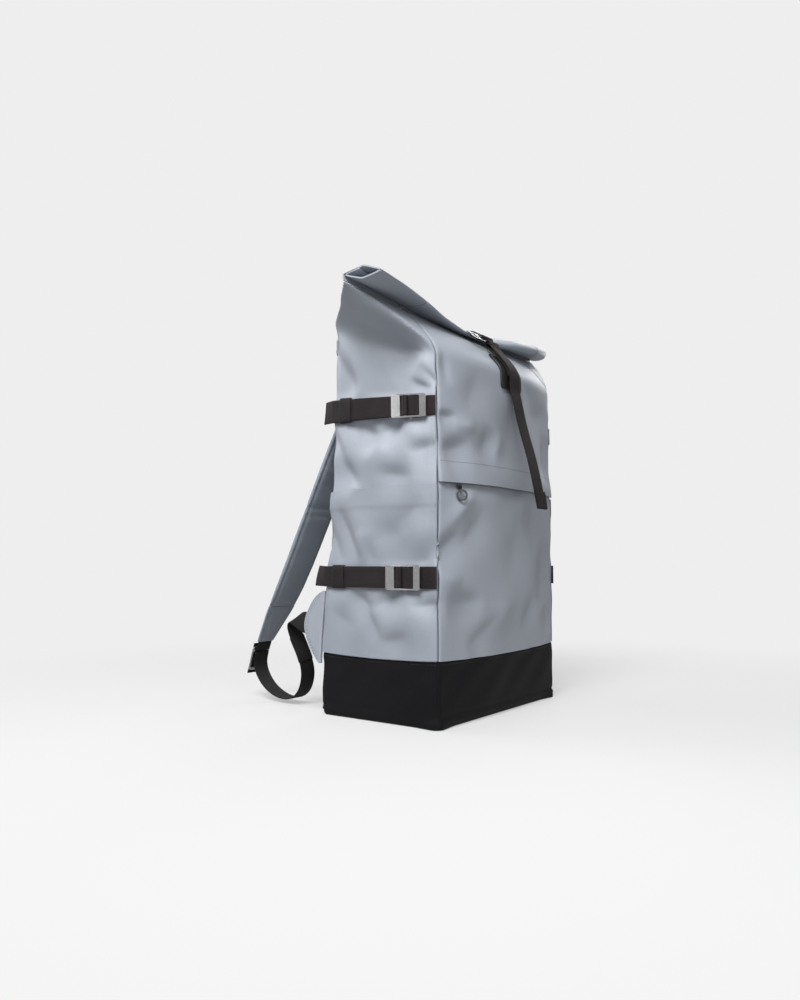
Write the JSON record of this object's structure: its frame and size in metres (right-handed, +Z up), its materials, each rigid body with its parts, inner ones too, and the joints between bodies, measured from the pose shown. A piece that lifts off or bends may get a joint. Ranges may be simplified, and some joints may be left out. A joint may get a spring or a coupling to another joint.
{
  "type": "rolltop backpack",
  "caption": "Standing rolltop backpack of coated cloth with a dark base, rolled and hooked mouth, side cinch straps with metal buckles and padded shoulder straps.",
  "frame": {"origin": "middle of the base's underside, on the floor it stands on", "axes": "+Z up, -Y out of the front, +Y towards the wearer's back and the shoulder straps, +X to the right as seen from the front"},
  "size_m": [0.455, 0.4009, 0.5225],
  "materials": {
    "coated_fabric": "smooth coated cloth with a soft sheen",
    "base_fabric": "matt near-black coated cloth",
    "webbing": "flat woven webbing",
    "silver_metal": "polished and brushed metal",
    "gunmetal": "dark satin metal",
    "patch_leather": "smooth black patch"
  },
  "bodies": {
    "root": {"base": "base_fabric", "back_panel": "coated_fabric", "side_panel_left": "coated_fabric", "side_pocket_left": "coated_fabric", "side_panel_right": "coated_fabric", "side_pocket_right": "coated_fabric", "front_pocket": "coated_fabric", "front_flap_panel": "coated_fabric", "rolled_top": "coated_fabric", "buckle_upper_left": "silver_metal", "strap_root_upper_left": "webbing", "strap_upper_left": "webbing", "keeper_upper_left": "webbing", "buckle_lower_left": "silver_metal", "strap_root_lower_left": "webbing", "strap_lower_left": "webbing", "keeper_lower_left": "webbing", "shoulder_pad_left": "coated_fabric", "strap_end_left": "coated_fabric", "triglide_left": "gunmetal", "strap_loop_left": "webbing", "adjuster_webbing_left": "webbing", "wing_left": "coated_fabric", "buckle_upper_right": "silver_metal", "strap_root_upper_right": "webbing", "strap_upper_right": "webbing", "keeper_upper_right": "webbing", "buckle_lower_right": "silver_metal", "strap_root_lower_right": "webbing", "strap_lower_right": "webbing", "keeper_lower_right": "webbing", "shoulder_pad_right": "coated_fabric", "strap_end_right": "coated_fabric", "triglide_right": "gunmetal", "strap_loop_right": "webbing", "adjuster_webbing_right": "webbing", "wing_right": "coated_fabric", "hook": "gunmetal", "strap_patch": "patch_leather", "front_strap": "webbing", "top_strap": "webbing", "zip_slider": "gunmetal", "zip_link": "silver_metal", "zip_ring": "silver_metal"}
  },
  "joints": []
}
